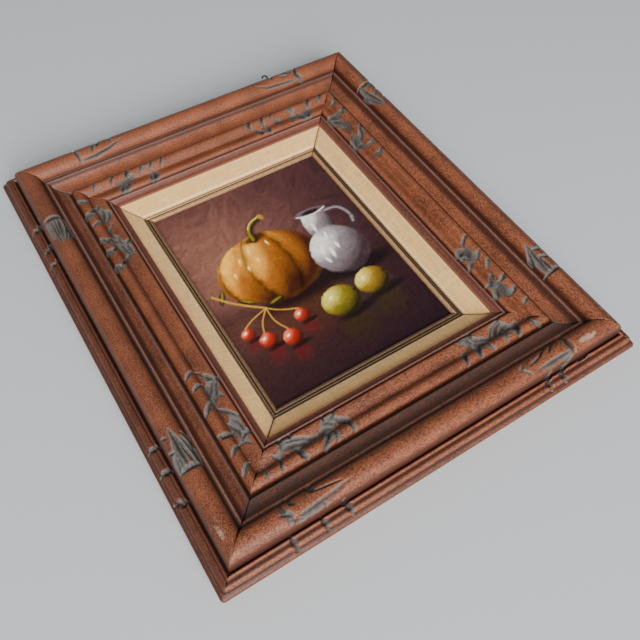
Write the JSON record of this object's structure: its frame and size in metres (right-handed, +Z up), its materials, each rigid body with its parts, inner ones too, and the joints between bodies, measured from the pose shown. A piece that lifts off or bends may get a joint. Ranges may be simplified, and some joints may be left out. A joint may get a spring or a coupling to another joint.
{
  "type": "framed oil painting",
  "caption": "Small still life panel painting in a gilt slip, linen covered liner and wide carved wood frame, to hang on a wall.",
  "frame": {"origin": "on the flat back of the top rail, midway along it, where the frame lies against the wall", "axes": "+X to the right and +Z up as seen by someone who looks at the picture, the picture faces -Y, and the wall is the plane y = 0"},
  "size_m": [0.4192, 0.0444, 0.4792],
  "materials": {
    "stained_wood": "red-brown stain with a satin wax, grey-green wax left in the carving",
    "linen": "wood liner bar covered in beige plain-weave linen",
    "gilt": "aged gold paint on wood",
    "oil_paint": "varnished oil paint on a thin board",
    "black_steel": "blackened steel wire"
  },
  "bodies": {
    "root": {"frame_rail_top": "stained_wood", "frame_rail_right": "stained_wood", "frame_rail_bottom": "stained_wood", "frame_rail_left": "stained_wood", "liner_rail_top": "linen", "liner_rail_right": "linen", "liner_rail_bottom": "linen", "liner_rail_left": "linen", "gilt_slip_top": "gilt", "gilt_slip_right": "gilt", "gilt_slip_bottom": "gilt", "gilt_slip_left": "gilt", "painted_panel": "oil_paint", "hanging_hook": "black_steel"}
  },
  "joints": []
}
